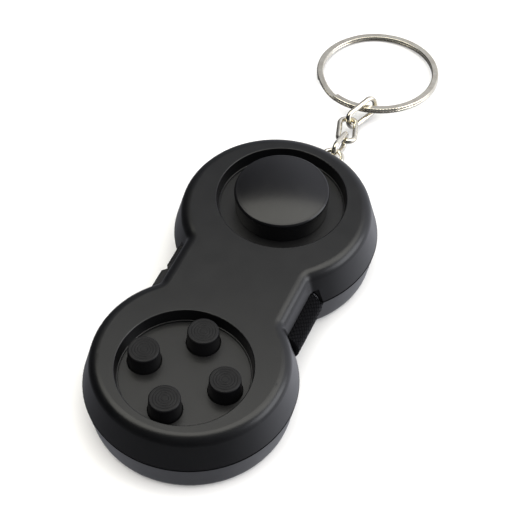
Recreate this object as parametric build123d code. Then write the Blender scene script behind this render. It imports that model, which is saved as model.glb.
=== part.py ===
from build123d import *
import os
from math import asin, cos, radians, sin, sqrt

# Hand-held fidget pad with a key chain. The origin is the middle of the flat underside: X runs across the
# pad, Y along it towards the key ring, and Z up out of the front face. Millimetres and degrees.

# --- casing: two round lobes joined by a waist, both halves drafted outwards to the seam ---
THICKNESS = 16.4
SEAM_Z = 8.5
LOBE_Y = 20.8
LOBE_R_SEAM = 21.3
LOBE_R_FACE = 19.35
LOBE_R_BASE = 19.8
WAIST_X_SEAM = 15.1
WAIST_X_FACE = 13.1
WAIST_X_BASE = 13.4
WALL = 1.8
FACE_WALL = 2.0
FLOOR = 1.8
FACE_ROUND = 2.3
BASE_ROUND = 2.8
CREASE_ROUND = 1.5
RECESS_ROUND = 0.2
SEAM_GAP = 0.3
TONGUE_INSET = 0.95
TONGUE_T = 0.8
TONGUE_H = 0.9
FIT = 0.05

# --- front recesses, with a small ledge over the plate that closes each one ---
RECESS_Y = 23.5
RECESS_R = 13.5
RECESS_R_FOOT = 13.1
RECESS_DEPTH = 2.6
LEDGE_W = 0.25
LEDGE_T = 0.4
LEDGE_ROUND = 0.12
COLLAR_R = 15.0
PLATE_R = 14.8
PLATE_T = 1.2
PLATE_TOP = THICKNESS - RECESS_DEPTH - LEDGE_T
PLATE_LOW = PLATE_TOP - PLATE_T

# --- push buttons on rubber domes ---
BUTTON_OFFSET = 8.63
BUTTON_R_TOP = 3.12
BUTTON_R = 3.3
BUTTON_HOLE_R = 3.5
BUTTON_TOP = THICKNESS + 0.8
FLANGE_R = 4.2
FLANGE_T = 1.1
CARRIER_R = 13.4
CARRIER_Z = (6.6, 7.8)
CARRIER_BOSS_OFFSET = 8.2
BOSS_R = 1.7
FLANGE_TOP = PLATE_LOW - 0.1
FLANGE_LOW = FLANGE_TOP - FLANGE_T
FRAME_PILOT_R = 0.67
FRAME_CLEAR_R = 0.75
FRAME_SCREW = {"head_h": 0.8, "head_r": 1.3, "tip": 11.4, "shank_r": 0.65}

# --- sliding thumb cap on a cross slide ---
GLIDE_TRAVEL = 2.2
CAP_R_BASE = 9.6
CAP_R_RIM = 9.85
CAP_RIM_ROUND = 0.6
CAP_RIM_Z = THICKNESS + 2.3
CAP_CROWN = 1.1
CAP_SKIN = 1.5
CAP_LOW = PLATE_TOP + 0.2
STEM_R = 2.2
STEM_HOLE_R = 5.8
SLIDER_Z = (10.7, 12.0)
CROSS_Z = (8.8, 10.6)
GUIDE_Z = (6.8, 8.7)
TONGUE_W = 1.2
GUIDE_TONGUE_Y = 7.4
CROSS_TONGUE_X = 4.0
CROSS_HALF = (6.5, 9.2)
SLIDER_HALF = 6.0
GUIDE_TONGUE_H = 0.8
GUIDE_HALF = (13.0, 9.2)
GUIDE_BOSS = (10.8, 7.2)
TAIL_R = 1.5

# --- side controls ---
SLOT_HALF = 7.3
SLOT_Z = (4.8, 12.2)
CHEEK_T = 1.6
ROLLER_X = 13.1
ROLLER_R = 3.6
ROLLER_HALF = 6.3
AXLE_R = 1.0
ROCKER_X = -12.0
ROCKER_FACE_X = -16.0
ROCKER_STEP = 0.45
ROCKER_HALF = 6.8
ROCKER_Z = (5.1, 11.9)
ROCKER_PIN_R = 0.75
ROCKER_HUB_R = 1.9

# --- underside ---
BACK_RECESS_R = 12.2
BACK_RIM_R = 13.4
DIAL_R = 12.05
DIAL_Z = (0.3, 2.5)
DIAL_FLOOR = (2.8, 4.0)
PAD_Z = (0.2, 2.4)
PAD_FLOOR = (2.5, 3.7)
POST = (13.5, 12.5)
POST_R = 2.3
POST_PILOT_R = 0.97
POST_CLEAR_R = 1.15
POST_HEAD_R = 2.1
SHELL_SCREW = {"head_low": 0.6, "head_h": 1.75, "head_r": 1.95, "tip": 13.0, "shank_r": 0.95}

# --- key chain: a screw eye, three oval links and a flat-wire split ring ---
EYE_ANGLE = 7.0
EYE_REACH = 24.0
EYE_R = 2.15
EYE_WIRE_R = 0.5
EYE_SHANK_R = 0.8
EYE_BOSS_START = 16.6
EYE_BOSS_R = 1.9
LINK_LENGTH = 10.2
LINK_WIDTH = 4.8
LINK_WIRE_R = 0.6
LINK_PLAY = 0.12
LINK_HEADINGS = ((-2.5, -26.5), (-18.0, -13.5), (19.0, -1.5))
LINK_SIDE_STEP = (0.0, 0.15, -0.2)
LINK_ROLL = (0.0, 0.0, -24.0)
RING_R = 14.0
RING_STRAND_W = 1.45
RING_STRAND_H = 0.62
RING_STRAND_GAP = 0.04
RING_HOOK_ANGLE = -80.0
RING_HOOK_PLAY = 2.9
RING_HOOK_LIFT = 0.1
RING_NORMAL = (-0.05, 0.102, 1.0)
RING_ENDS = (212.0, 245.0)

BASE = (Align.CENTER, Align.CENTER, Align.MIN)


# ---------------------------------------------------------------------------------------------------------
# small shapes
# ---------------------------------------------------------------------------------------------------------
def disc(radius, low, high, x=0.0, y=0.0):
    """An upright cylinder between two heights."""
    return Pos(x, y, low) * Cylinder(radius, high - low, align=BASE)


def tube(outer, inner, low, high, x=0.0, y=0.0):
    return disc(outer, low, high, x, y) - disc(inner, low, high, x, y)


def block(x, y, z):
    """A box given by its low and high value along each axis."""
    middle = Pos((x[0] + x[1]) / 2, (y[0] + y[1]) / 2, (z[0] + z[1]) / 2)
    return middle * Box(x[1] - x[0], y[1] - y[0], z[1] - z[0])


def turned(*curves):
    """A solid of revolution about Z from curves in the XZ plane that meet end to end."""
    outline = Curve() + list(curves)
    return revolve(make_face(Plane.XZ * outline), Axis.Z)


def line(*points):
    return Polyline(*points)


def around(x, y):
    """The four mirror images of a point about both axes."""
    return [(sx * x, sy * y) for sx in (-1, 1) for sy in (-1, 1)]


def compass(offset):
    return {"north": (0.0, offset), "east": (offset, 0.0), "south": (0.0, -offset), "west": (-offset, 0.0)}


def screw(x, y, head_low, head_h, head_r, tip, shank_r):
    """A self-tapping screw driven upwards, with a cross recess in its head."""
    slot_w, slot_h = 0.28 * head_r, 0.55 * head_h
    body = disc(head_r, head_low, head_low + head_h, x, y)
    body += disc(shank_r, head_low + head_h, tip, x, y)
    rim = body.edges().filter_by_position(Axis.Z, head_low - 0.01, head_low + 0.01)
    body = fillet(rim, 0.3 * head_h)
    reach = 0.62 * head_r
    recess = block((x - reach, x + reach), (y - slot_w, y + slot_w), (head_low - 0.1, head_low + slot_h))
    recess += block((x - slot_w, x + slot_w), (y - reach, y + reach), (head_low - 0.1, head_low + slot_h))
    return body - recess


def frame_screw(x, y, seat_z):
    """One of the small screws that hold the inner frames up against the recess plates."""
    return screw(x, y, seat_z - FRAME_SCREW["head_h"], **FRAME_SCREW)


# ---------------------------------------------------------------------------------------------------------
# casing
# ---------------------------------------------------------------------------------------------------------
def outline_at(z):
    """Lobe radius and waist half-width of the sharp-edged casing at a height."""
    if z >= SEAM_Z:
        share, lobe_end, waist_end = (z - SEAM_Z) / (THICKNESS - SEAM_Z), LOBE_R_FACE, WAIST_X_FACE
    else:
        share, lobe_end, waist_end = (SEAM_Z - z) / SEAM_Z, LOBE_R_BASE, WAIST_X_BASE
    lobe = LOBE_R_SEAM + (lobe_end - LOBE_R_SEAM) * share
    waist = WAIST_X_SEAM + (waist_end - WAIST_X_SEAM) * share
    return lobe, waist


def drafted(low, high, inset=0.0):
    """The casing's figure-of-eight form between two heights in one half, moved inwards by inset."""
    (lobe_0, waist_0), (lobe_1, waist_1) = outline_at(low), outline_at(high)
    w0, w1 = waist_0 - inset, waist_1 - inset
    section = Plane.XZ * Polygon((-w0, low), (w0, low), (w1, high), (-w1, high), align=None)
    form = extrude(section, LOBE_Y, both=True)
    for side in (-1, 1):
        form += Pos(0, side * LOBE_Y, low) * Cone(lobe_0 - inset, lobe_1 - inset, high - low, align=BASE)
    return form


def ring_wall(low, high, outer_inset, inner_inset):
    return drafted(low, high, outer_inset) - drafted(low, high, inner_inset)


def half_outside(low, high, face_z, face_round):
    """One half of the casing as a full solid, with its creases and its outer edge rounded."""
    form = drafted(low, high)
    creases = [
        edge
        for edge in form.edges()
        if edge.bounding_box().size.Z > 0.9 * (high - low) and abs(edge.center().Y) < LOBE_Y / 2
    ]
    form = fillet(creases, CREASE_ROUND)
    return fillet(form.edges().filter_by_position(Axis.Z, face_z - 0.01, face_z + 0.01), face_round)


def eye_line(start, stop, radius):
    """A round bar along the screw eye's shank, measured outwards from the lobe's middle."""
    along = Plane(origin=(0, LOBE_Y, SEAM_Z), z_dir=(sin(radians(EYE_ANGLE)), cos(radians(EYE_ANGLE)), 0))
    return along.offset(start) * Cylinder(radius, stop - start, align=BASE)


def bearing_cheeks(low, high):
    """Walls at both ends of the roller bay that hold the axle."""
    cheek = block((ROLLER_X - 2.6, WAIST_X_SEAM), (SLOT_HALF, SLOT_HALF + CHEEK_T), (low, high))
    return cheek + mirror(cheek, Plane.XZ)


def side_slots():
    """The two openings through the waist's side walls."""
    far = WAIST_X_SEAM + 3
    right = block((10.0, far), (-SLOT_HALF, SLOT_HALF), SLOT_Z)
    left = block((-far, -10.0), (-SLOT_HALF, SLOT_HALF), SLOT_Z)
    return right + left


def axle_seat():
    reach = SLOT_HALF + CHEEK_T - 0.3
    return Pos(ROLLER_X, 0, SEAM_Z) * Rot(90, 0, 0) * Cylinder(AXLE_R + 0.01, 2 * reach)


def recess_space():
    """A round front recess, drafted outwards to the face, and the opening inside its ledge."""
    floor_z = THICKNESS - RECESS_DEPTH
    draft = (RECESS_R - RECESS_R_FOOT) / RECESS_DEPTH
    space = Pos(0, 0, floor_z) * Cone(RECESS_R_FOOT, RECESS_R + draft, RECESS_DEPTH + 1, align=BASE)
    return space + disc(RECESS_R_FOOT - LEDGE_W, PLATE_TOP - 1, floor_z + 1)


def round_edges(shape, radius, height):
    """The circular edges of one radius at one height."""
    level = shape.edges().filter_by_position(Axis.Z, height - 0.01, height + 0.01)
    return [edge for edge in level.filter_by(GeomType.CIRCLE) if abs(edge.radius - radius) < 0.01]


def top_shell():
    outside = half_outside(SEAM_Z, THICKNESS, THICKNESS, FACE_ROUND)
    ceiling = THICKNESS - FACE_WALL
    shell = outside - drafted(SEAM_Z, ceiling, WALL)
    inside = bearing_cheeks(SEAM_Z, ceiling + 0.5) + disc(ROCKER_HUB_R, SLOT_Z[1], ceiling + 0.5, ROCKER_X, 0)
    for x, y in around(*POST):
        inside += disc(POST_R, SEAM_Z, ceiling + 0.5, x, y)
    for side in (-1, 1):
        inside += disc(COLLAR_R, PLATE_TOP, ceiling + 0.5, 0, side * RECESS_Y)
    inside += eye_line(EYE_BOSS_START, LOBE_R_SEAM - 0.5, EYE_BOSS_R) & drafted(SEAM_Z, ceiling)
    shell += inside & outside

    shell -= ring_wall(SEAM_Z, SEAM_Z + SEAM_GAP, -1.0, TONGUE_INSET - FIT)
    shell -= ring_wall(SEAM_Z, SEAM_Z + TONGUE_H + 0.1, TONGUE_INSET - FIT, WALL + 0.1)
    for side in (-1, 1):
        shell -= Pos(0, side * RECESS_Y, 0) * recess_space()
    shell = fillet(round_edges(shell, RECESS_R, THICKNESS), RECESS_ROUND)
    shell = fillet(round_edges(shell, RECESS_R_FOOT - LEDGE_W, THICKNESS - RECESS_DEPTH), LEDGE_ROUND)
    shell -= side_slots()
    shell -= axle_seat()
    for x, y in around(*POST):
        shell -= disc(POST_PILOT_R, SEAM_Z - 1, SHELL_SCREW["tip"] + 0.4, x, y)
    shell -= disc(ROCKER_PIN_R + 0.01, SLOT_Z[1] - 1, 13.95, ROCKER_X, 0)
    shell -= eye_line(EYE_BOSS_START - 0.6, LOBE_R_SEAM + 1, EYE_SHANK_R + 0.02)
    return shell


def bottom_shell():
    outside = half_outside(0, SEAM_Z, 0, BASE_ROUND)
    shell = outside - drafted(FLOOR, SEAM_Z, WALL)
    inside = bearing_cheeks(FLOOR - 0.5, SEAM_Z) + disc(ROCKER_HUB_R, FLOOR - 0.5, SLOT_Z[0], ROCKER_X, 0)
    inside += block((-8.6, -7.8), (-1.2, 1.2), (FLOOR - 0.5, 11.0))
    for x, y in around(*POST):
        inside += disc(POST_R, FLOOR - 0.5, SEAM_Z, x, y)
    inside += disc(BACK_RIM_R, FLOOR - 0.5, DIAL_FLOOR[1], 0, -LOBE_Y)
    inside += disc(BACK_RIM_R, FLOOR - 0.5, PAD_FLOOR[1], 0, LOBE_Y)
    inside += eye_line(EYE_BOSS_START, LOBE_R_SEAM - 0.5, EYE_BOSS_R) & drafted(FLOOR, SEAM_Z)
    shell += inside & (outside + drafted(SEAM_Z, THICKNESS, WALL))
    shell += ring_wall(SEAM_Z, SEAM_Z + TONGUE_H, TONGUE_INSET, TONGUE_INSET + TONGUE_T)

    shell -= disc(BACK_RECESS_R, -1, DIAL_FLOOR[0], 0, -LOBE_Y)
    shell -= disc(BACK_RECESS_R, -1, PAD_FLOOR[0], 0, LOBE_Y)
    shell -= disc(2.1, -1, 6, 0, -LOBE_Y)
    shell -= side_slots()
    shell -= axle_seat()
    for x, y in around(*POST):
        shell -= disc(POST_CLEAR_R, -1, SEAM_Z + 2, x, y)
        shell -= disc(POST_HEAD_R, -1, 2.4, x, y)
    for x, y in around(*POST):
        shell -= tube(POST_R + FIT, POST_R - 1, SEAM_Z, SEAM_Z + 2, x, y)
    shell -= disc(ROCKER_PIN_R + 0.01, 2.65, 6, ROCKER_X, 0)
    shell -= eye_line(EYE_BOSS_START - 0.6, LOBE_R_SEAM + 1, EYE_SHANK_R + 0.02)
    boss_room = eye_line(EYE_BOSS_START - 0.6, LOBE_R_SEAM - 0.4, EYE_BOSS_R + FIT)
    shell -= boss_room & drafted(SEAM_Z, SEAM_Z + 3)
    cheek_x = (ROLLER_X - 2.7, WAIST_X_SEAM)
    for side in (-1, 1):
        cheek_y = sorted((side * (SLOT_HALF - 0.1), side * (SLOT_HALF + CHEEK_T + FIT)))
        shell -= block(cheek_x, cheek_y, (SEAM_Z, SEAM_Z + 2))
    return shell


def shell_screws():
    return [screw(x, y, **SHELL_SCREW) for x, y in around(*POST)]


# ---------------------------------------------------------------------------------------------------------
# push buttons
# ---------------------------------------------------------------------------------------------------------
def button_plate():
    plate = disc(PLATE_R, PLATE_LOW, PLATE_TOP, 0, -RECESS_Y)
    for x, y in around(CARRIER_BOSS_OFFSET, CARRIER_BOSS_OFFSET):
        plate += disc(BOSS_R, CARRIER_Z[1], PLATE_LOW, x, y - RECESS_Y)
        plate -= disc(FRAME_PILOT_R, CARRIER_Z[1] - 1, PLATE_LOW, x, y - RECESS_Y)
    for x, y in compass(BUTTON_OFFSET).values():
        plate -= disc(BUTTON_HOLE_R, PLATE_LOW - 1, PLATE_TOP + 1, x, y - RECESS_Y)
    return plate


def dome_carrier():
    carrier = disc(CARRIER_R, *CARRIER_Z, 0, -RECESS_Y)
    for x, y in around(CARRIER_BOSS_OFFSET, CARRIER_BOSS_OFFSET):
        carrier -= disc(FRAME_CLEAR_R, CARRIER_Z[0] - 1, CARRIER_Z[1] + 1, x, y - RECESS_Y)
    return carrier


def button_frame_screws():
    spots = around(CARRIER_BOSS_OFFSET, CARRIER_BOSS_OFFSET)
    return [frame_screw(x, y - RECESS_Y, CARRIER_Z[0]) for x, y in spots]


def push_button():
    """A moulded cap with a retaining flange below the plate and fine rings turned into its top."""
    edge = 0.3
    side = line(
        (0, FLANGE_LOW),
        (FLANGE_R, FLANGE_LOW),
        (FLANGE_R, FLANGE_TOP),
        (BUTTON_R, FLANGE_TOP),
        (BUTTON_R, PLATE_TOP + 0.2),
        (BUTTON_R_TOP, BUTTON_TOP - edge),
    )
    middle = (BUTTON_R_TOP - 0.3 * edge, BUTTON_TOP - 0.3 * edge)
    corner = ThreePointArc((BUTTON_R_TOP, BUTTON_TOP - edge), middle, (BUTTON_R_TOP - edge, BUTTON_TOP))
    groove_w, groove_d = 0.12, 0.05
    top = [(BUTTON_R_TOP - edge, BUTTON_TOP)]
    for radius in (2.35, 1.8, 1.25, 0.7):
        top.append((radius + groove_w, BUTTON_TOP))
        top.append((radius, BUTTON_TOP - groove_d))
        top.append((radius - groove_w, BUTTON_TOP))
    top += [(0, BUTTON_TOP), (0, FLANGE_LOW)]
    return turned(side, corner, line(*top))


def rubber_dome():
    """A soft dome that carries one button and pushes it back up."""
    foot_r, neck_r, skin = 3.9, 1.9, 0.55
    low, high = CARRIER_Z[1], FLANGE_LOW
    return turned(
        line(
            (foot_r - skin, low),
            (foot_r, low),
            (foot_r, low + 0.5),
            (neck_r, high - 0.7),
            (neck_r, high),
            (0, high),
            (0, high - 0.7 - skin),
            (neck_r - skin, high - 0.7 - skin),
            (foot_r - skin, low + 0.4),
            (foot_r - skin, low),
        )
    )


# ---------------------------------------------------------------------------------------------------------
# sliding thumb cap
# ---------------------------------------------------------------------------------------------------------
def glide_plate():
    plate = disc(PLATE_R, PLATE_LOW, PLATE_TOP, 0, RECESS_Y)
    plate -= disc(STEM_HOLE_R, PLATE_LOW - 1, PLATE_TOP + 1, 0, RECESS_Y)
    for x, y in around(*GUIDE_BOSS):
        plate += disc(BOSS_R - 0.1, GUIDE_Z[1], PLATE_LOW, x, y + RECESS_Y)
        plate -= disc(FRAME_PILOT_R, GUIDE_Z[1] - 1, PLATE_LOW, x, y + RECESS_Y)
    return plate


def glide_guide():
    """The fixed guide below the cross slide, with grooves along X."""
    half_x, half_y = GUIDE_HALF
    guide = block((-half_x, half_x), (RECESS_Y - half_y, RECESS_Y + half_y), GUIDE_Z)
    guide = fillet(guide.edges().filter_by(Axis.Z), 3.2)
    guide -= disc(5.2, GUIDE_Z[0] - 1, GUIDE_Z[1] + 1, 0, RECESS_Y)
    groove = TONGUE_W / 2 + FIT
    for side in (-1, 1):
        y = RECESS_Y + side * GUIDE_TONGUE_Y
        guide -= block((-9.2, 9.2), (y - groove, y + groove), (GUIDE_Z[1] - GUIDE_TONGUE_H, GUIDE_Z[1] + 1))
    for x, y in around(*GUIDE_BOSS):
        guide -= disc(FRAME_CLEAR_R, GUIDE_Z[0] - 1, GUIDE_Z[1] + 1, x, y + RECESS_Y)
    return guide


def glide_frame_screws():
    return [frame_screw(x, y + RECESS_Y, GUIDE_Z[0]) for x, y in around(*GUIDE_BOSS)]


def cross_slide():
    """The slide that moves along X: tongues below in the guide, grooves on top along Y."""
    low, high = CROSS_Z
    half_x, half_y = CROSS_HALF
    slide = block((-half_x, half_x), (RECESS_Y - half_y, RECESS_Y + half_y), CROSS_Z)
    slide = fillet(slide.edges().filter_by(Axis.Z), 0.8)
    half = TONGUE_W / 2
    for side in (-1, 1):
        y = RECESS_Y + side * GUIDE_TONGUE_Y
        ends = (0.1 - half_x, half_x - 0.1)
        slide += block(ends, (y - half, y + half), (low - GUIDE_TONGUE_H + 0.05, low))
        x = side * CROSS_TONGUE_X
        groove = half + FIT
        length = (RECESS_Y - half_y + 0.2, RECESS_Y + half_y - 0.2)
        slide -= block((x - groove, x + groove), length, (high - GUIDE_TONGUE_H, high + 1))
    reach = GLIDE_TRAVEL + TAIL_R + 0.3
    slide -= block((-TAIL_R - 0.3, TAIL_R + 0.3), (RECESS_Y - reach, RECESS_Y + reach), (low - 1, high + 1))
    return slide


def glide_slider():
    """The slide that moves along Y on the cross slide; its tail takes the cap's screw."""
    low, high = SLIDER_Z
    slider = block((-SLIDER_HALF, SLIDER_HALF), (RECESS_Y - SLIDER_HALF, RECESS_Y + SLIDER_HALF), SLIDER_Z)
    slider = fillet(slider.edges().filter_by(Axis.Z), 0.8)
    half = TONGUE_W / 2
    for side in (-1, 1):
        x = side * CROSS_TONGUE_X
        length = (RECESS_Y - SLIDER_HALF + 0.1, RECESS_Y + SLIDER_HALF - 0.1)
        slider += block((x - half, x + half), length, (low - GUIDE_TONGUE_H + 0.15, low))
    slider += disc(TAIL_R, 4.9, low, 0, RECESS_Y)
    return slider - disc(0.9, 4, high + 1, 0, RECESS_Y)


def glide_cap():
    """A shallow domed cap, hollow below, with a stem down to the slider."""
    rim = CAP_RIM_ROUND
    crown_z = CAP_RIM_Z + CAP_CROWN
    hollow_r = CAP_R_BASE - CAP_SKIN
    hollow_z = CAP_RIM_Z - CAP_SKIN
    low_corner = line((hollow_r, CAP_LOW), (CAP_R_BASE, CAP_LOW), (CAP_R_RIM, CAP_RIM_Z - rim))
    rim_arc = ThreePointArc(
        (CAP_R_RIM, CAP_RIM_Z - rim),
        (CAP_R_RIM - 0.25 * rim, CAP_RIM_Z - 0.32 * rim),
        (CAP_R_RIM - rim, CAP_RIM_Z),
    )
    reach = CAP_R_RIM - rim
    ball = (reach**2 + CAP_CROWN**2) / (2 * CAP_CROWN)
    half_angle = asin(reach / ball) / 2
    halfway = (ball * sin(half_angle), crown_z - ball + ball * cos(half_angle))
    crown = ThreePointArc((reach, CAP_RIM_Z), halfway, (0, crown_z))
    under = line(
        (0, crown_z),
        (0, SLIDER_Z[1]),
        (STEM_R, SLIDER_Z[1]),
        (STEM_R, hollow_z),
        (hollow_r, hollow_z),
        (hollow_r, CAP_LOW),
    )
    cap = Pos(0, RECESS_Y, 0) * turned(low_corner, rim_arc, crown, under)
    return cap - disc(0.72, SLIDER_Z[1] - 1, 17.0, 0, RECESS_Y)


def glide_screw():
    return screw(0, RECESS_Y, 4.05, 0.8, 1.6, 16.5, 0.7)


def centring_web():
    """A soft rubber web between the guide and the cap's tail that draws the cap back to the middle."""
    bead_low = GUIDE_Z[0] - 1.2
    web = turned(
        line(
            (TAIL_R + FIT, 4.95),
            (2.7, 4.95),
            (6.4, bead_low),
            (8.2, bead_low),
            (8.2, GUIDE_Z[0]),
            (6.6, GUIDE_Z[0]),
            (6.2, bead_low + 0.6),
            (2.7, 5.7),
            (TAIL_R + FIT, 5.9),
            (TAIL_R + FIT, 4.95),
        )
    )
    return Pos(0, RECESS_Y, 0) * web


# ---------------------------------------------------------------------------------------------------------
# side controls
# ---------------------------------------------------------------------------------------------------------
def along_y(radius, half):
    return Pos(ROLLER_X, 0, SEAM_Z) * Rot(90, 0, 0) * Cylinder(radius, 2 * half)


def roller():
    drum = along_y(ROLLER_R, ROLLER_HALF)
    drum = chamfer(drum.edges().filter_by(GeomType.CIRCLE), 0.35)
    return drum - along_y(AXLE_R + FIT, ROLLER_HALF + 1)


def roller_axle():
    pin = along_y(AXLE_R, SLOT_HALF + CHEEK_T - 0.35)
    return chamfer(pin.edges().filter_by(GeomType.CIRCLE), 0.2)


def roller_washers():
    low, high = ROLLER_HALF + 0.15, ROLLER_HALF + 0.85
    both = along_y(2.5, high) - along_y(2.6, low) - along_y(AXLE_R + 0.02, high + 1)
    return list(both.solids())


def rocker():
    """Two thumb pads with a valley between them on a hub; the pad nearer the key ring is ribbed."""
    x, face, half = ROCKER_X, ROCKER_FACE_X, ROCKER_HALF
    valley = 0.9
    pads = Polygon(
        (x - 0.6, -half),
        (face, -half),
        (face, -valley),
        (face + valley, 0),
        (face + ROCKER_STEP, valley),
        (face + ROCKER_STEP, half),
        (x - 0.6, half),
        align=None,
    )
    body = extrude(Pos(0, 0, ROCKER_Z[0]) * pads, ROCKER_Z[1] - ROCKER_Z[0], dir=(0, 0, 1))
    ends = [edge for edge in body.edges().filter_by(Axis.Z) if abs(edge.center().Y) > half - 0.1]
    body = fillet([edge for edge in ends if edge.center().X < x - 2], 0.9)
    body = fillet(body.edges().group_by(Axis.Z)[0] + body.edges().group_by(Axis.Z)[-1], 0.35)
    rib = 0.66
    for step in range(8):
        y = valley + 0.55 + step * rib
        groove = Pos(face + ROCKER_STEP, y, 0) * Rot(0, 0, 45) * Box(0.26, 0.26, 40)
        body -= groove
    body += disc(ROCKER_HUB_R, *ROCKER_Z, x, 0)
    return body - disc(ROCKER_PIN_R + FIT, 0, THICKNESS, x, 0)


def rocker_pin():
    return disc(ROCKER_PIN_R, 2.7, 13.9, ROCKER_X, 0)


def rocker_spring():
    """A bowed strip of spring steel that levels the rocker."""
    reach, strip = 5.6, 0.25
    tip_x, back_x = ROCKER_X - 0.35, ROCKER_X + 3.1
    outer = ThreePointArc((tip_x, -reach), (back_x, 0), (tip_x, reach))
    inner = ThreePointArc((tip_x, reach - strip), (back_x - strip, 0), (tip_x, -reach + strip))
    ends = [line((tip_x, reach), (tip_x, reach - strip)), line((tip_x, -reach + strip), (tip_x, -reach))]
    bow = make_face(Curve() + [outer, ends[0], inner, ends[1]])
    return extrude(Pos(0, 0, 6.3) * bow, 4.4, dir=(0, 0, 1))


# ---------------------------------------------------------------------------------------------------------
# underside
# ---------------------------------------------------------------------------------------------------------
def spin_dial():
    """A turning disc, flush with the underside, with a finger dish near its rim and a fluted edge."""
    low, high = DIAL_Z
    dial = disc(DIAL_R, low, high) + disc(2.0, high, 4.55)
    dial = chamfer(dial.edges().group_by(Axis.Z)[0], 0.35)
    dial -= Pos(0, -6.4, low - 4.6) * Sphere(5.9)
    for turn in range(24):
        dial -= Rot(0, 0, 15 * turn) * Pos(DIAL_R + 0.1, 0, low) * Cylinder(0.55, 1.4)
    dial -= disc(0.83, 1.3, 6)
    return Pos(0, -LOBE_Y, 0) * dial


def dial_spring_washer():
    return tube(3.3, 2.15, DIAL_FLOOR[1] + 0.02, 4.5, 0, -LOBE_Y)


def dial_screw():
    head_low = 4.56
    shank = disc(0.8, 1.4, head_low)
    head = disc(3.2, head_low, head_low + 0.45) + disc(1.7, head_low, head_low + 1.2)
    slot = block((-2, 2), (-0.22, 0.22), (head_low + 0.75, head_low + 2))
    return Pos(0, -LOBE_Y, 0) * (shank + head - slot)


def thumb_pad():
    """A soft dished pad let into the underside."""
    low, high = PAD_Z
    pad = disc(BACK_RECESS_R - FIT, low, high)
    pad = fillet(pad.edges().group_by(Axis.Z)[0], 0.4)
    dish_r, depth = 9.8, 1.5
    ball = (dish_r**2 + depth**2) / (2 * depth)
    pad -= Pos(0, 0, low + depth - ball) * Sphere(ball)
    return Pos(0, LOBE_Y, 0) * pad


# ---------------------------------------------------------------------------------------------------------
# key chain
# ---------------------------------------------------------------------------------------------------------
def heading(azimuth, elevation):
    """A unit direction: azimuth from +Y towards +X, elevation above the horizontal."""
    a, e = radians(azimuth), radians(elevation)
    return Vector(sin(a) * cos(e), cos(a) * cos(e), sin(e))


def side_of(direction):
    """The level direction to the right of a heading."""
    return Vector(direction.Y, -direction.X, 0).normalized()


def eye_centre():
    return Vector(0, LOBE_Y, SEAM_Z) + heading(EYE_ANGLE, 0) * EYE_REACH


def in_plane(direction, normal):
    """The part of a direction that lies in a plane, as a unit vector."""
    return (direction - normal * direction.dot(normal)).normalized()


def chain_layout():
    """Each link's near end, heading, plane normal, pivot and hinge axis, and where the ring hooks on."""
    bend = LINK_WIDTH / 2 - LINK_WIRE_R
    directions = [heading(*angles) for angles in LINK_HEADINGS]
    holder_middle, holder_bend, holder_r, holder_normal = eye_centre(), EYE_R, EYE_WIRE_R, Vector(0, 0, 1)
    layout = []
    for number, (direction, step, roll) in enumerate(zip(directions, LINK_SIDE_STEP, LINK_ROLL)):
        spoke = in_plane(direction, holder_normal)
        pivot = holder_middle + spoke * holder_bend
        slack = LINK_PLAY + bend - sqrt(bend**2 - step**2)
        near = pivot - direction * (holder_r + LINK_WIRE_R + slack) + side_of(direction) * step
        normal = side_of(direction).cross(direction) if number % 2 else side_of(direction)
        normal = normal.rotate(Axis((0, 0, 0), direction), roll)
        layout.append((near, direction, normal, pivot, spoke.cross(holder_normal)))
        holder_middle = near + direction * (LINK_LENGTH - 2 * LINK_WIRE_R - bend)
        holder_bend, holder_r, holder_normal = bend, LINK_WIRE_R, normal
    return layout, holder_middle + directions[-1] * bend


def chain_link(near, direction, normal):
    """An oval link of round wire."""
    bend = LINK_WIDTH / 2 - LINK_WIRE_R
    run = LINK_LENGTH - LINK_WIDTH
    link = None
    for start, turn in ((0, 90), (run, -90)):
        half = revolve(Pos(bend, 0, 0) * (Plane.XZ * Circle(LINK_WIRE_R)), Axis.Z, 180)
        end = Pos(start, 0, 0) * Rot(0, 0, turn) * half
        link = end if link is None else link + end
    for side in (-1, 1):
        link += Pos(0, side * bend, 0) * Rot(0, 90, 0) * Cylinder(LINK_WIRE_R, run, align=BASE)
    centre = near + direction * bend
    return Plane(origin=centre, x_dir=direction, z_dir=normal) * link


def screw_eye():
    """A wire eye on a ridged shank held between the two halves of the casing."""
    shank_end = EYE_REACH - EYE_R
    eye = Pos(*eye_centre()) * Torus(EYE_R, EYE_WIRE_R)
    eye += eye_line(16.8, shank_end, EYE_SHANK_R - 0.18)
    for turn in range(7):
        start = 17.0 + 0.55 * turn
        eye += eye_line(start, start + 0.25, EYE_SHANK_R)
    return eye


def ring_frame(hook, hook_heading):
    """The split ring's plane, placed so that its hooked strand lies in the last link."""
    normal = Vector(*RING_NORMAL).normalized()
    strand = hook - hook_heading * RING_HOOK_PLAY + Vector(0, 0, RING_HOOK_LIFT)
    flat = Plane(origin=(0, 0, 0), x_dir=Vector(1, 0, 0) - normal * normal.X, z_dir=normal)
    spoke = RING_R - RING_STRAND_W / 2
    angle = radians(RING_HOOK_ANGLE)
    arm = flat.x_dir * cos(angle) * spoke + flat.y_dir * sin(angle) * spoke
    return Plane(origin=strand - arm, x_dir=flat.x_dir, z_dir=normal), strand


def strand_section(height):
    """A flat strand's rounded section, in the XZ plane at the ring's radius."""
    section = RectangleRounded(RING_STRAND_W, RING_STRAND_H, 0.22)
    return Plane.XZ * (Pos(RING_R - RING_STRAND_W / 2, height) * section)


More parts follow.
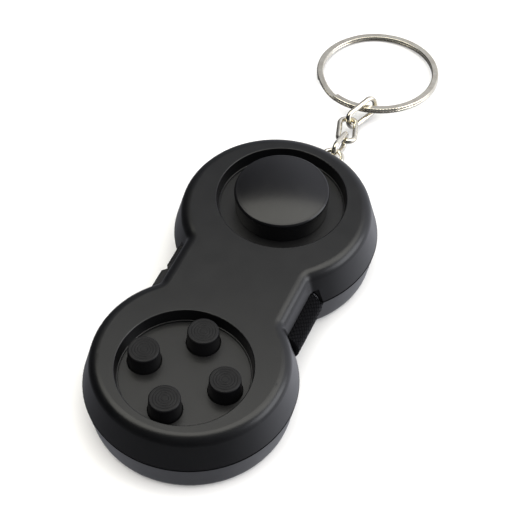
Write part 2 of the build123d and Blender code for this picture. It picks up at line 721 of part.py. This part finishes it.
def split_ring(frame):
    """Two turns of flat wire: one strand steps down to the other between the two cut ends."""
    lift = (RING_STRAND_H + RING_STRAND_GAP) / 2
    sweep_angle = 360 - (RING_ENDS[1] - RING_ENDS[0])
    ring = None
    for height in (-lift, lift):
        coil = Rot(0, 0, RING_ENDS[1]) * revolve(strand_section(height), Axis.Z, sweep_angle)
        ring = coil if ring is None else ring + coil
    steps = 6
    span = (RING_ENDS[1] - RING_ENDS[0]) / steps
    stations = []
    for step in range(steps + 1):
        ease = 0.5 - 0.5 * cos(radians(180 * step / steps))
        height = lift - 2 * lift * ease
        stations.append(Rot(0, 0, RING_ENDS[0] + span * step) * strand_section(height))
    return frame * (ring + loft(stations))


# ---------------------------------------------------------------------------------------------------------
# all nodes
# ---------------------------------------------------------------------------------------------------------
def all_nodes():
    nodes = {
        "top_shell": top_shell(),
        "bottom_shell": bottom_shell(),
        "shell_screws": shell_screws(),
        "button_plate": button_plate(),
        "dome_carrier": dome_carrier(),
        "button_frame_screws": button_frame_screws(),
        "glide_plate": glide_plate(),
        "glide_guide": glide_guide(),
        "glide_frame_screws": glide_frame_screws(),
        "cross_slide": cross_slide(),
        "glide_slider": glide_slider(),
        "glide_cap": glide_cap(),
        "glide_screw": glide_screw(),
        "centring_web": centring_web(),
        "roller": roller(),
        "roller_axle": roller_axle(),
        "roller_washers": roller_washers(),
        "rocker": rocker(),
        "rocker_pin": rocker_pin(),
        "rocker_spring": rocker_spring(),
        "spin_dial": spin_dial(),
        "dial_spring_washer": dial_spring_washer(),
        "dial_screw": dial_screw(),
        "thumb_pad": thumb_pad(),
        "screw_eye": screw_eye(),
    }
    button, dome = push_button(), rubber_dome()
    for side, (x, y) in compass(BUTTON_OFFSET).items():
        nodes[f"button_{side}"] = Pos(x, y - RECESS_Y, 0) * button
        nodes[f"dome_{side}"] = Pos(x, y - RECESS_Y, 0) * dome
    links, hook = chain_layout()
    for number, (near, direction, normal, _, _) in enumerate(links, start=1):
        nodes[f"chain_link_{number}"] = chain_link(near, direction, normal)
    frame, _ = ring_frame(hook, links[-1][1])
    nodes["split_ring"] = split_ring(frame)
    return nodes


def main():
    os.makedirs("parts", exist_ok=True)
    for name, shape in all_nodes().items():
        solid = Compound(children=shape) if isinstance(shape, list) else shape
        export_step(solid, f"parts/{name}.step")


if __name__ == "__main__":
    main()
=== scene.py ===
import math

import bmesh
import bpy
from mathutils import Matrix, Quaternion, Vector


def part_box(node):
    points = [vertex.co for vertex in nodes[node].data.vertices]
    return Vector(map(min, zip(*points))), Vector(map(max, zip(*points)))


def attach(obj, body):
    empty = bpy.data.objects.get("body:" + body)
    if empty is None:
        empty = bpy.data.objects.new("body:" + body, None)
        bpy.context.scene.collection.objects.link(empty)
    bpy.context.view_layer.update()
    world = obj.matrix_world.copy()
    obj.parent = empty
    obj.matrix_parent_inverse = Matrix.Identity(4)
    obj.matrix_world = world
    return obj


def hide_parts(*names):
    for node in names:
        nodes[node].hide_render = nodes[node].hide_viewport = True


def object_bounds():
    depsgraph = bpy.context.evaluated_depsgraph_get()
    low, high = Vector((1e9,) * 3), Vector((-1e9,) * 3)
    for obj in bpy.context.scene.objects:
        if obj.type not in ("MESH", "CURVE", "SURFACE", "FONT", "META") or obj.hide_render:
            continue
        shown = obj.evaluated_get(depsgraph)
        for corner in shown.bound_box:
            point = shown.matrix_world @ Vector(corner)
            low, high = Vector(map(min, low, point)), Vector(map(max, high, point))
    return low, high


MM = 0.001

CAMERA_TARGET = Vector((2.697, 6.332, 16.4)) * MM
CAMERA_AZIMUTH, CAMERA_ELEVATION, CAMERA_ROLL = 23.258, 51.402, 0.814      # degrees
CAMERA_DISTANCE = 353.45 * MM
CAMERA_LENS = 121.68
CAMERA_CLIP = (0.01, 10)

WORLD_TINT = (0.985, 1.0, 1.09)
WORLD_STRENGTH = 1.1
SIDE_DIRECTION = (0.62, 0.78, 0.1)
SIDE_LEVELS = ((0.22, 0.025), (0.5, 0.08), (0.7, 0.31), (0.8, 0.62), (0.95, 0.82))
TABLE_DIRECTION = (0, 0, -1)
TABLE_LEVELS = ((0.55, 0.0), (0.71, 0.06), (0.88, 0.18), (0.97, 0.27))

FLOOR_REACH = 3.0
FLOOR_COLOUR = (0.93, 0.93, 0.93)
FLOOR_ROUGHNESS = 0.9

NOISE_LOW, NOISE_HIGH = 0.35, 0.65          # the share of a noise's range that a layer uses
CLOUDS_PER_METRE, HAZE_PER_METRE, TARNISH_PER_METRE = 90, 260, 420
STREAK_STRETCH = (1, 0.12, 1)

DIAMOND_PITCH = 0.8 * MM
DIAMOND_DEPTH = 7e-5
DIAMOND_WAYS = ((0.7, 1.0, 0.7), (0.7, -1.0, 0.7))
PAD_START, PAD_FULL = 0.9 * MM, 1.3 * MM    # where the diamonds set in, along y

ROLLER_CHAMFER, ROLLER_BORE, ROLLER_GROOVE = 0.35 * MM, 1.05 * MM, 0.16 * MM
ROLLER_AROUND, ROLLER_ALONG, ROLLER_CELLS = 264, 150, 22
ROLLER_SHARP_ANGLE = math.radians(50)
RIDGE_HEIGHT, RIDGE_POWER = 3.2, 1.2

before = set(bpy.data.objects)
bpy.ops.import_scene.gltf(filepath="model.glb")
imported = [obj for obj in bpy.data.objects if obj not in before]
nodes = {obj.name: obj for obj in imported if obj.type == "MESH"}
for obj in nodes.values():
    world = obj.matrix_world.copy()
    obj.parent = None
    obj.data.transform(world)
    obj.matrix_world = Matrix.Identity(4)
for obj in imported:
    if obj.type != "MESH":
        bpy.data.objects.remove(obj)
cad_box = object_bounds()


# ---------------------------------------------------------------------------------------------------------
# camera and light
# ---------------------------------------------------------------------------------------------------------
def make_camera():
    a, e, r = (math.radians(v) for v in (CAMERA_AZIMUTH, CAMERA_ELEVATION, CAMERA_ROLL))
    back = Vector((math.sin(a) * math.cos(e), -math.cos(a) * math.cos(e), math.sin(e)))
    right = back.cross(Vector((0, 0, -1))).normalized()
    up = back.cross(right)
    right, up = right * math.cos(r) + up * math.sin(r), up * math.cos(r) - right * math.sin(r)
    camera = bpy.data.objects.new("camera", bpy.data.cameras.new("camera"))
    camera.data.lens = CAMERA_LENS
    camera.data.clip_start, camera.data.clip_end = CAMERA_CLIP
    turned = Matrix((right, up, back)).transposed().to_4x4()
    camera.matrix_world = Matrix.Translation(CAMERA_TARGET + back * CAMERA_DISTANCE) @ turned
    bpy.context.scene.collection.objects.link(camera)
    bpy.context.scene.camera = camera


def make_area_light(name, place, aim, size, power, colour, glossy=True, turn=0):
    light = bpy.data.objects.new(name, bpy.data.lights.new(name, "AREA"))
    light.data.shape = "RECTANGLE"
    light.data.size, light.data.size_y = size
    light.data.energy = power
    light.data.color = colour
    light.location = place
    light.rotation_mode = "QUATERNION"
    facing = (Vector(aim) - Vector(place)).to_track_quat("-Z", "Y")
    light.rotation_quaternion = facing @ Quaternion((0, 0, 1), math.radians(turn))
    light.visible_glossy = glossy
    bpy.context.scene.collection.objects.link(light)


def make_world():
    """A studio that is bright towards the right and behind, and dark towards the front and left."""
    world = bpy.data.worlds.new("studio")
    bpy.context.scene.world = world
    world.use_nodes = True
    tree = world.node_tree
    background = tree.nodes["Background"]
    coords = tree.nodes.new("ShaderNodeTexCoord")

    def tinted(level):
        return (*(level * part for part in WORLD_TINT), 1)

    def glow(direction, levels):
        """Light by the angle to a direction: each level is (0 opposite it to 1 along it, brightness)."""
        towards = tree.nodes.new("ShaderNodeVectorMath")
        towards.operation = "DOT_PRODUCT"
        towards.inputs[1].default_value = Vector(direction).normalized()
        halved = tree.nodes.new("ShaderNodeMapRange")
        halved.inputs["From Min"].default_value = -1.0
        ramp = tree.nodes.new("ShaderNodeValToRGB")
        stops = ramp.color_ramp.elements
        for stop, (position, level) in zip(stops, (levels[0], levels[-1])):
            stop.position, stop.color = position, tinted(level)
        for position, level in levels[1:-1]:
            stops.new(position).color = tinted(level)
        tree.links.new(coords.outputs["Generated"], towards.inputs[0])
        tree.links.new(towards.outputs["Value"], halved.inputs["Value"])
        tree.links.new(halved.outputs["Result"], ramp.inputs["Fac"])
        return ramp.outputs["Color"]

    both = tree.nodes.new("ShaderNodeVectorMath")
    both.operation = "ADD"
    tree.links.new(glow(SIDE_DIRECTION, SIDE_LEVELS), both.inputs[0])
    tree.links.new(glow(TABLE_DIRECTION, TABLE_LEVELS), both.inputs[1])
    tree.links.new(both.outputs["Vector"], background.inputs["Color"])
    background.inputs["Strength"].default_value = WORLD_STRENGTH


def make_floor():
    """White paper under the object, which lights it but isn't seen in its reflections."""
    mesh = bpy.data.meshes.new("floor")
    corners = [(x * FLOOR_REACH, y * FLOOR_REACH, 0) for x, y in ((-1, -1), (1, -1), (1, 1), (-1, 1))]
    mesh.from_pydata(corners, [], [(0, 1, 2, 3)])
    floor = bpy.data.objects.new("floor", mesh)
    floor.location.z = cad_box[0].z
    floor.visible_glossy = False
    bpy.context.scene.collection.objects.link(floor)
    material = bpy.data.materials.new("floor_paper")
    material.use_nodes = True
    shader = material.node_tree.nodes["Principled BSDF"]
    shader.inputs["Base Color"].default_value = (*FLOOR_COLOUR, 1)
    shader.inputs["Roughness"].default_value = FLOOR_ROUGHNESS
    shader.inputs["Specular IOR Level"].default_value = 0.0
    mesh.materials.append(material)


bpy.context.scene.view_settings.view_transform = "Standard"
make_camera()
make_world()
make_floor()
make_area_light("overhead", place=(-0.017, 0.167, 0.62), aim=(-0.017, 0.167, 0), size=(1.1, 0.44),
                power=3.6, colour=(1.0, 0.985, 0.9), turn=CAMERA_AZIMUTH)
make_area_light("fill", place=(0.05, -0.36, 0.62), aim=(0.05, -0.36, 0), size=(1.1, 0.95),
                power=9.0, colour=(1.0, 0.98, 0.95), glossy=False)
make_area_light("right", place=(0.75, 0.25, 0.32), aim=(0, 0, 0.01), size=(0.6, 0.5),
                power=2.6, colour=(0.95, 0.97, 1.0))


# ---------------------------------------------------------------------------------------------------------
# materials: procedural, in object coordinates in metres
# ---------------------------------------------------------------------------------------------------------
class Surface:
    """A Principled material with a few procedural layers."""

    def __init__(self, name, roughness, metallic=0.0, specular=0.5):
        self.material = bpy.data.materials.new(name)
        self.material.use_nodes = True
        self.tree = self.material.node_tree
        self.shader = self.tree.nodes["Principled BSDF"]
        self.shader.inputs["Roughness"].default_value = roughness
        self.shader.inputs["Metallic"].default_value = metallic
        self.shader.inputs["Specular IOR Level"].default_value = specular
        self.coords = self.tree.nodes.new("ShaderNodeTexCoord").outputs["Object"]

    def node(self, kind, **inputs):
        made = self.tree.nodes.new(kind)
        for key, value in inputs.items():
            made.inputs[key].default_value = value
        return made

    def stretched(self, scale):
        mapping = self.node("ShaderNodeMapping", Scale=scale)
        self.tree.links.new(self.coords, mapping.inputs["Vector"])
        return mapping.outputs["Vector"]

    def noise(self, per_metre, detail, roughness=0.55, vector=None):
        made = self.node("ShaderNodeTexNoise", Scale=per_metre, Detail=detail, Roughness=roughness)
        self.tree.links.new(self.coords if vector is None else vector, made.inputs["Vector"])
        return made.outputs["Fac"]

    def along(self, direction):
        made = self.tree.nodes.new("ShaderNodeVectorMath")
        made.operation = "DOT_PRODUCT"
        made.inputs[1].default_value = direction
        self.tree.links.new(self.coords, made.inputs[0])
        return made.outputs["Value"]

    def wave(self, direction, pitch):
        """A sine along a direction, one turn per pitch."""
        turns = 2 * math.pi / pitch
        made = self.tree.nodes.new("ShaderNodeMath")
        made.operation = "SINE"
        self.tree.links.new(self.along([turns * part for part in direction]), made.inputs[0])
        return made.outputs["Value"]

    def product(self, first, second):
        made = self.tree.nodes.new("ShaderNodeMath")
        made.operation = "MULTIPLY"
        self.tree.links.new(first, made.inputs[0])
        self.tree.links.new(second, made.inputs[1])
        return made.outputs["Value"]

    def spread(self, factor, low, high, to_low, to_high):
        """A factor that runs from low to high, as a value that runs from to_low to to_high."""
        made = self.tree.nodes.new("ShaderNodeMapRange")
        made.inputs["From Min"].default_value = low
        made.inputs["From Max"].default_value = high
        made.inputs["To Min"].default_value = to_low
        made.inputs["To Max"].default_value = to_high
        self.tree.links.new(factor, made.inputs["Value"])
        return made.outputs["Result"]

    def colour(self, factor, first, second):
        ramp = self.tree.nodes.new("ShaderNodeValToRGB")
        stops = ramp.color_ramp.elements
        stops[0].position, stops[0].color = NOISE_LOW, (*first, 1)
        stops[1].position, stops[1].color = NOISE_HIGH, (*second, 1)
        self.tree.links.new(factor, ramp.inputs["Fac"])
        self.tree.links.new(ramp.outputs["Color"], self.shader.inputs["Base Color"])

    def gloss(self, factor, rough_low, rough_high):
        roughness = self.spread(factor, NOISE_LOW, NOISE_HIGH, rough_low, rough_high)
        self.tree.links.new(roughness, self.shader.inputs["Roughness"])

    def bump(self, height, depth):
        made = self.node("ShaderNodeBump", Strength=1.0, Distance=depth)
        self.tree.links.new(height, made.inputs["Height"])
        self.tree.links.new(made.outputs["Normal"], self.shader.inputs["Normal"])


def moulded(name, dark, light, rough, grain, depth, specular=0.5):
    """Moulded plastic or rubber: faint cloudiness, a fine grain and slightly uneven gloss."""
    made = Surface(name, rough[0], specular=specular)
    made.colour(made.noise(CLOUDS_PER_METRE, detail=4), dark, light)
    made.gloss(made.noise(HAZE_PER_METRE, detail=5, roughness=0.6), *rough)
    made.bump(made.noise(grain, detail=2), depth)
    return made.material


def rocker_plastic():
    """Black plastic, with fine diamonds all over the pad nearer the key ring."""
    made = Surface("rocker_plastic", 0.4, specular=0.3)
    made.colour(made.noise(CLOUDS_PER_METRE, detail=4), (0.004, 0.004, 0.0045), (0.007, 0.007, 0.0075))
    made.gloss(made.noise(HAZE_PER_METRE, detail=5, roughness=0.6), 0.36, 0.44)
    waves = [made.wave(direction, DIAMOND_PITCH) for direction in DIAMOND_WAYS]
    pad = made.spread(made.along((0, 1, 0)), PAD_START, PAD_FULL, 0.0, 1.0)
    made.bump(made.product(made.product(*waves), pad), DIAMOND_DEPTH)
    return made.material


def metal(name, dark, light, rough, streak, depth=4e-6):
    """Bright metal with faint lines drawn out along y."""
    made = Surface(name, rough[0], metallic=1.0)
    made.colour(made.noise(TARNISH_PER_METRE, detail=4), dark, light)
    lines = made.noise(streak, detail=3, roughness=0.6, vector=made.stretched(STREAK_STRETCH))
    made.gloss(lines, *rough)
    made.bump(lines, depth)
    return made.material


def dress(material, *names):
    for name in names:
        mesh = nodes[name].data
        mesh.materials.clear()
        mesh.materials.append(material)
        for face in mesh.polygons:
            face.material_index = 0


case = moulded("case_plastic", dark=(0.0016, 0.0017, 0.0020), light=(0.0028, 0.0029, 0.0033),
               rough=(0.285, 0.325), grain=1100, depth=1.5e-6)
dress(case, "top_shell", "bottom_shell")

plate = moulded("plate_plastic", dark=(0.0030, 0.0030, 0.0032), light=(0.0045, 0.0045, 0.0047),
                rough=(0.33, 0.38), grain=1100, depth=2e-6)
dress(plate, "button_plate", "glide_plate")

cap = moulded("cap_plastic", dark=(0.0018, 0.0018, 0.0022), light=(0.003, 0.003, 0.0035),
              rough=(0.22, 0.25), grain=900, depth=5e-7)
dress(cap, "glide_cap", "spin_dial")

button = moulded("button_rubber", dark=(0.0025, 0.0025, 0.003), light=(0.0045, 0.0045, 0.005),
                 rough=(0.4, 0.46), grain=3200, depth=6e-6, specular=0.25)
dress(button, "button_north", "button_east", "button_south", "button_west")

pad_silicone = moulded("pad_silicone", dark=(0.012, 0.012, 0.0125), light=(0.017, 0.017, 0.0175),
                       rough=(0.55, 0.65), grain=5200, depth=1e-5, specular=0.35)
dress(pad_silicone, "thumb_pad")

dress(rocker_plastic(), "rocker")

nylon = moulded("inner_plastic", dark=(0.62, 0.61, 0.57), light=(0.72, 0.71, 0.67),
                rough=(0.45, 0.55), grain=3500, depth=6e-6)
dress(nylon, "dome_carrier", "glide_guide", "cross_slide", "glide_slider")

silicone = moulded("dome_silicone", dark=(0.33, 0.34, 0.34), light=(0.42, 0.43, 0.43),
                   rough=(0.5, 0.6), grain=3500, depth=8e-6)
dress(silicone, "centring_web", "dome_north", "dome_east", "dome_south", "dome_west")

screws = metal("screw_steel", dark=(0.42, 0.42, 0.43), light=(0.62, 0.62, 0.64),
               rough=(0.25, 0.4), streak=2200)
dress(screws, "shell_screws", "button_frame_screws", "glide_frame_screws", "glide_screw", "dial_screw")
dress(screws, "roller_axle", "roller_washers", "rocker_pin")

springs = metal("spring_steel", dark=(0.36, 0.36, 0.37), light=(0.5, 0.5, 0.52),
                rough=(0.28, 0.38), streak=2600)
dress(springs, "rocker_spring", "dial_spring_washer")

nickel = metal("nickel", dark=(0.78, 0.73, 0.61), light=(0.92, 0.875, 0.74),
               rough=(0.09, 0.2), streak=1500, depth=5e-6)
dress(nickel, "screw_eye", "chain_link_1", "chain_link_2", "chain_link_3", "split_ring")

roller_rubber = moulded("roller_rubber", dark=(0.0015, 0.0015, 0.002), light=(0.003, 0.003, 0.0035),
                        rough=(0.3, 0.36), grain=3200, depth=3e-6, specular=0.04)
dress(roller_rubber, "roller")


# ---------------------------------------------------------------------------------------------------------
# the roller's diamond knurl
# ---------------------------------------------------------------------------------------------------------
def ridge(turns):
    """A rounded ridge once per turn: 0 in the groove, 1 on the crest."""
    return min(1.0, RIDGE_HEIGHT * abs(math.sin(math.pi * turns)) ** RIDGE_POWER)


def make_roller():
    low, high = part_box("roller")
    middle, half, radius = (low + high) / 2, (high.y - low.y) / 2, (high.z - low.z) / 2
    pitch = 2 * math.pi * radius / ROLLER_CELLS
    # each ring is (y, radius, share of the groove's depth), from one end's bore over the face to the other's
    rings = [(-half, ROLLER_BORE, 0.0), (-half, radius - ROLLER_CHAMFER, 0.0)]
    for step in range(ROLLER_ALONG + 1):
        share = step / ROLLER_ALONG
        rings.append(((half - ROLLER_CHAMFER) * (2 * share - 1), radius, 1.0))
    rings += [(half, radius - ROLLER_CHAMFER, 0.0), (half, ROLLER_BORE, 0.0)]
    mesh = bmesh.new()
    loops = []
    for y, r, depth in rings:
        loop = []
        for step in range(ROLLER_AROUND):
            share = step / ROLLER_AROUND
            first, second = share * ROLLER_CELLS + y / pitch, share * ROLLER_CELLS - y / pitch
            reach = r - ROLLER_GROOVE * depth * (1 - ridge(first) * ridge(second))
            angle = 2 * math.pi * share
            place = (middle.x + reach * math.cos(angle), y, middle.z + reach * math.sin(angle))
            loop.append(mesh.verts.new(place))
        loops.append(loop)
    for here, there in zip(loops, loops[1:] + loops[:1]):
        for step in range(ROLLER_AROUND):
            after = (step + 1) % ROLLER_AROUND
            mesh.faces.new((here[step], there[step], there[after], here[after]))
    bmesh.ops.recalc_face_normals(mesh, faces=mesh.faces)
    data = bpy.data.meshes.new("knurled_roller")
    mesh.to_mesh(data)
    mesh.free()
    data.materials.append(roller_rubber)
    piece = bpy.data.objects.new("knurled_roller", data)
    bpy.context.scene.collection.objects.link(piece)
    for face in data.polygons:
        face.use_smooth = True
    data.set_sharp_from_angle(angle=ROLLER_SHARP_ANGLE)
    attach(piece, "roller")
    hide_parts("roller")


make_roller()
